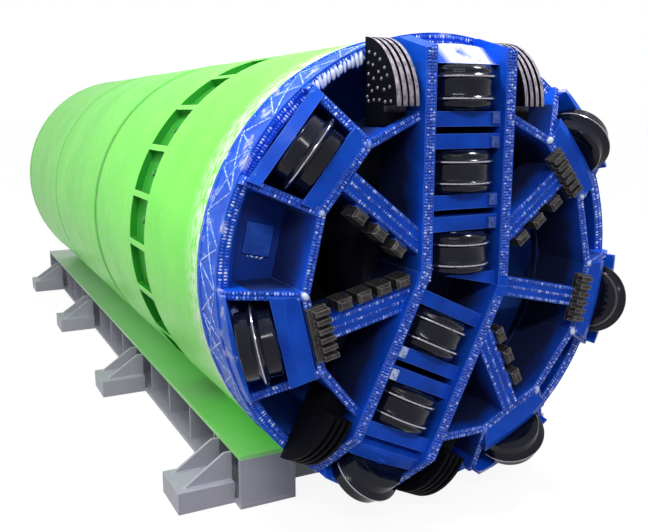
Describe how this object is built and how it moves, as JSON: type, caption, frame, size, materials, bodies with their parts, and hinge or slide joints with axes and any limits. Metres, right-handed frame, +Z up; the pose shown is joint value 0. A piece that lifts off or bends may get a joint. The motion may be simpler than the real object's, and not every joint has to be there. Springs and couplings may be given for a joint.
{
  "type": "microtunnel boring machine on a cradle",
  "caption": "Slurry microtunnel boring machine: rotating cutterhead with disc cutters, two shield cans and the storage cradle that holds it.",
  "frame": {"origin": "on the floor, under the middle of the whole machine", "axes": "+Z up, +Y back along the machine's axis, the cutterhead faces -Y"},
  "size_m": [2.14, 6.6, 2.1149],
  "materials": {
    "shield_green": "gloss",
    "pocket_green": "gloss",
    "head_blue": "gloss",
    "cutter_steel": "gloss",
    "tooth_steel": "satin",
    "shoe_steel": "worn",
    "inner_steel": "satin",
    "motor_paint": "satin",
    "pipe_steel": "satin",
    "jack_steel": "satin",
    "deck_steel": "worn",
    "cabinet_paint": "satin",
    "cradle_grey": "satin"
  },
  "bodies": {
    "shield": {"front_shield": "shield_green", "rear_shield": "shield_green", "window_backing_ring": "pocket_green", "articulation_ring": "inner_steel", "tail_ring": "shield_green", "bulkhead": "inner_steel", "crushing_cone": "inner_steel", "main_drive_ring": "inner_steel", "main_drive_cover": "inner_steel", "drive_motors": "motor_paint", "slurry_pipes": "pipe_steel", "steering_jacks": "jack_steel", "machine_deck": "deck_steel", "control_cabinet": "cabinet_paint", "power_pack": "motor_paint", "cradle_top_plates": "cradle_grey", "cradle_base_plates": "cradle_grey", "cradle_webs": "cradle_grey", "cradle_ribs": "cradle_grey", "cradle_feet": "cradle_grey", "cradle_cross_members": "cradle_grey"},
    "cutterhead": {"head_rim": "head_blue", "head_back_ring": "head_blue", "head_cell_frame": "head_blue", "main_arm_upper": "head_blue", "main_arm_lower": "head_blue", "head_hub": "head_blue", "thin_arm_1": "head_blue", "thin_arm_2": "head_blue", "thin_arm_3": "head_blue", "thin_arm_4": "head_blue", "thin_arm_5": "head_blue", "tooth_holders": "head_blue", "scraper_teeth": "tooth_steel", "scraper_combs": "tooth_steel", "gauge_shoes": "shoe_steel", "twin_saddles": "head_blue", "gauge_saddles": "head_blue"},
    "twin_cutter_1_body": {"twin_cutter_1": "cutter_steel"},
    "twin_cutter_2_body": {"twin_cutter_2": "cutter_steel"},
    "twin_cutter_3_body": {"twin_cutter_3": "cutter_steel"},
    "twin_cutter_4_body": {"twin_cutter_4": "cutter_steel"},
    "twin_cutter_5_body": {"twin_cutter_5": "cutter_steel"},
    "gauge_cutter_1_body": {"gauge_cutter_1": "cutter_steel"},
    "gauge_cutter_2_body": {"gauge_cutter_2": "cutter_steel"},
    "gauge_cutter_3_body": {"gauge_cutter_3": "cutter_steel"},
    "gauge_cutter_4_body": {"gauge_cutter_4": "cutter_steel"},
    "gauge_cutter_5_body": {"gauge_cutter_5": "cutter_steel"},
    "gauge_cutter_6_body": {"gauge_cutter_6": "cutter_steel"}
  },
  "joints": [
    {"name": "head_spin", "type": "hinge", "parent": "shield", "child": "cutterhead", "pos_m": [0, -2.78, 1.11], "axis": [0, 1, 0], "continuous": true},
    {"name": "twin_cutter_1_spin", "type": "hinge", "parent": "cutterhead", "child": "twin_cutter_1_body", "pos_m": [0, -3.136, 1.888], "axis": [0, 0, 1], "continuous": true},
    {"name": "twin_cutter_2_spin", "type": "hinge", "parent": "cutterhead", "child": "twin_cutter_2_body", "pos_m": [0, -3.136, 1.555], "axis": [0, 0, 1], "continuous": true},
    {"name": "twin_cutter_3_spin", "type": "hinge", "parent": "cutterhead", "child": "twin_cutter_3_body", "pos_m": [0, -3.136, 1.222], "axis": [0, 0, 1], "continuous": true},
    {"name": "twin_cutter_4_spin", "type": "hinge", "parent": "cutterhead", "child": "twin_cutter_4_body", "pos_m": [-0.11064, -3.136, 0.88025], "axis": [-0.4339, 0, -0.901], "continuous": true},
    {"name": "twin_cutter_5_spin", "type": "hinge", "parent": "cutterhead", "child": "twin_cutter_5_body", "pos_m": [-0.25512, -3.136, 0.58023], "axis": [-0.4339, 0, -0.901], "continuous": true},
    {"name": "gauge_cutter_1_spin", "type": "hinge", "parent": "cutterhead", "child": "gauge_cutter_1_body", "pos_m": [0.68176, -3.11, 1.65368], "axis": [0.7249, 0.3746, 0.5781], "continuous": true},
    {"name": "gauge_cutter_2_spin", "type": "hinge", "parent": "cutterhead", "child": "gauge_cutter_2_body", "pos_m": [0.85599, -3.115, 0.91463], "axis": [0.9039, 0.3746, -0.2063], "continuous": true},
    {"name": "gauge_cutter_3_spin", "type": "hinge", "parent": "cutterhead", "child": "gauge_cutter_3_body", "pos_m": [0.38095, -3.115, 0.31895], "axis": [0.4023, 0.3746, -0.8354], "continuous": true},
    {"name": "gauge_cutter_4_spin", "type": "hinge", "parent": "cutterhead", "child": "gauge_cutter_4_body", "pos_m": [-0.38399, -3.115, 0.31264], "axis": [-0.3419, 0.6157, -0.71], "continuous": true},
    {"name": "gauge_cutter_5_spin", "type": "hinge", "parent": "cutterhead", "child": "gauge_cutter_5_body", "pos_m": [-0.86281, -3.1, 0.91307], "axis": [-0.9039, 0.3746, -0.2063], "continuous": true},
    {"name": "gauge_cutter_6_spin", "type": "hinge", "parent": "cutterhead", "child": "gauge_cutter_6_body", "pos_m": [-0.65674, -3.115, 1.63373], "axis": [-0.7347, 0.342, 0.5859], "continuous": true}
  ]
}
